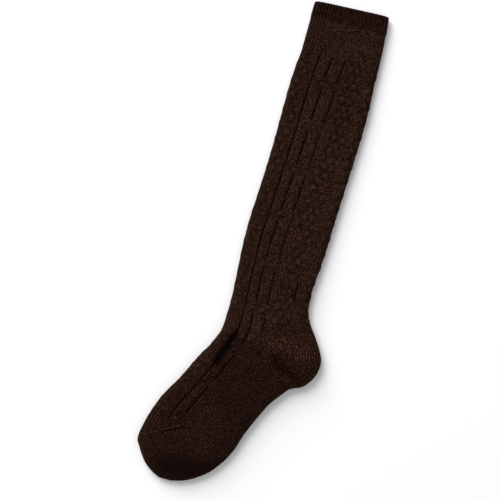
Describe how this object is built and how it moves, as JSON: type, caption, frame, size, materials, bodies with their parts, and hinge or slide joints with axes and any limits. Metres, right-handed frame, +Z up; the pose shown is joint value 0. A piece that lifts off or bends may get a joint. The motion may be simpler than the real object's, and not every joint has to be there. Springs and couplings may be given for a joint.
{
  "type": "knee sock",
  "caption": "Thick knitted knee sock lying flat on its side, with a ribbed cuff, cabled leg, shaped heel pocket and plain toe cap.",
  "frame": {"origin": "centre of the bounding box in plan, on the surface that the sock lies on", "axes": "+Y up the leg towards the cuff's mouth, toe towards -X and -Y, +Z up from the surface to the side that shows"},
  "size_m": [0.1718, 0.5558, 0.0171],
  "materials": {
    "cuff_rib": "dense ribbed knit of heathered dark brown yarn",
    "leg_cable_knit": "cable and honeycomb knit of heathered dark brown yarn",
    "heel_knit": "plain jersey knit of heathered dark brown yarn",
    "foot_knit": "patterned instep and plain jersey sole of heathered dark brown yarn",
    "toe_knit": "plain jersey knit of heathered dark brown yarn"
  },
  "bodies": {
    "root": {"cuff": "cuff_rib", "leg": "leg_cable_knit", "heel": "heel_knit", "foot": "foot_knit", "toe_cap": "toe_knit"}
  },
  "joints": []
}
